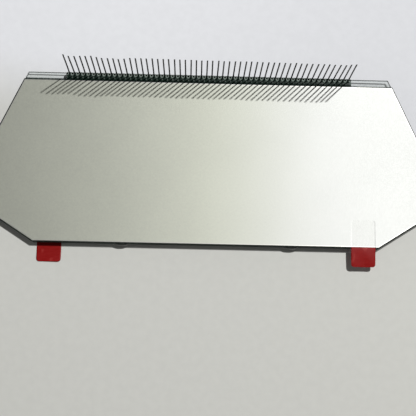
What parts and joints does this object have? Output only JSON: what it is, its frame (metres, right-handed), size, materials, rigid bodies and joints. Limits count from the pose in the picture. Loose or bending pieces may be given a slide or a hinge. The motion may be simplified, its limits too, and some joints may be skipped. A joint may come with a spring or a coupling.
{
  "type": "instrument cluster lcd",
  "caption": "Bare segment LCD glass panel with slanted ends, a silver rear face, a row of upright contact pins in a dark green resin bead, and red pull tabs on its films.",
  "frame": {"origin": "middle of the viewing side, on the outer face of its protective film", "axes": "+X along the panel, +Y towards the contact ledge, +Z out of the rear face and along the pins"},
  "size_m": [0.1572, 0.0651, 0.0217],
  "materials": {
    "film": "clear film, satin",
    "polarizer": "smooth grey polarizing foil",
    "glass": "clear float glass, cut edges",
    "seal": "cured epoxy",
    "liquid_crystal": "thin clear fluid",
    "silver_paste": "dull silver paste",
    "end_seal": "dark cured adhesive, glossy",
    "reflector": "satin silver foil, slightly warm",
    "clear_tape": "clear tape",
    "red_strip": "red film",
    "resin": "dark green cured resin, glossy",
    "pin": "tin-plated strip, dull grey"
  },
  "bodies": {
    "root": {"front_film": "film", "front_polarizer": "polarizer", "front_glass": "glass", "perimeter_seal": "seal", "liquid_crystal": "liquid_crystal", "common_dot_left": "silver_paste", "common_dot_right": "silver_paste", "end_seal_left": "end_seal", "end_seal_right": "end_seal", "rear_glass": "glass", "rear_polarizer": "polarizer", "reflector": "reflector", "rear_film": "film", "front_tab_tape": "clear_tape", "front_tab_grip": "red_strip", "rear_tab_tape": "clear_tape", "rear_tab_grip": "red_strip", "pin_bond": "resin", "contact_pins_1": "pin", "contact_pins_2": "pin", "contact_pins_3": "pin", "contact_pins_4": "pin", "contact_pins_5": "pin", "contact_pins_6": "pin", "contact_pins_7": "pin", "contact_pins_8": "pin", "contact_pins_9": "pin"}
  },
  "joints": []
}
